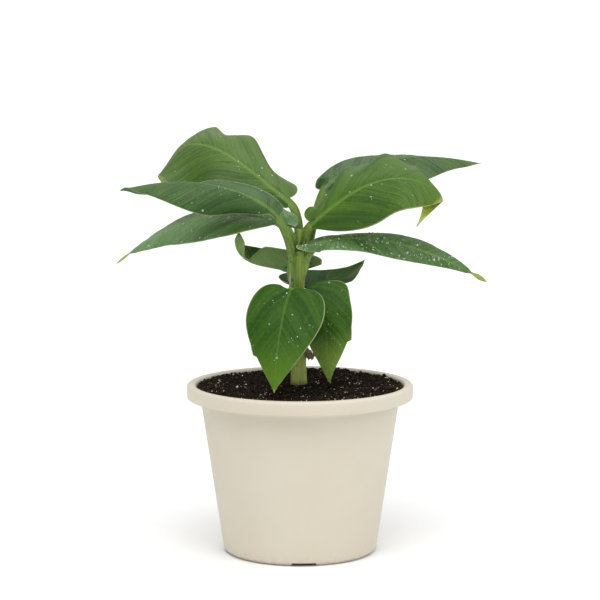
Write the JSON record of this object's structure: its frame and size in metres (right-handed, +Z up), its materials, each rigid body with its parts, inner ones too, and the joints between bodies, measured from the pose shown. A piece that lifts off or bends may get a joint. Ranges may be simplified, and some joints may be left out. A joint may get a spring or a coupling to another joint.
{
  "type": "potted banana plant",
  "caption": "Young banana plant with broad arching green leaves fanning from a short pseudostem, growing in a round cream plastic pot filled with dark soil.",
  "frame": {"origin": "middle of the pot's flat underside, at the level it stands on", "axes": "+Z up along the pot's axis, -Y towards the viewer of the picture, +X to that viewer's right"},
  "size_m": [0.3184, 0.2231, 0.3482],
  "materials": {
    "pot_plastic": "satin cream plastic",
    "potting_soil": "damp, crumbly and dark, with pale specks",
    "stem_green": "smooth waxy yellow-green",
    "leaf_light_green": "satin light green",
    "leaf_deep_green": "satin deep green"
  },
  "bodies": {
    "root": {"pot": "pot_plastic", "soil": "potting_soil", "pseudostem": "stem_green", "leaf_upper_left": "leaf_light_green", "leaf_upper_right": "leaf_light_green", "leaf_middle_left": "leaf_deep_green", "leaf_lower_left": "leaf_deep_green", "leaf_rear_right": "leaf_deep_green", "leaf_lower_right": "leaf_deep_green", "leaf_back_left": "leaf_deep_green", "leaf_back_right": "leaf_deep_green", "leaf_front": "leaf_deep_green", "leaf_front_right": "leaf_deep_green"}
  },
  "joints": []
}
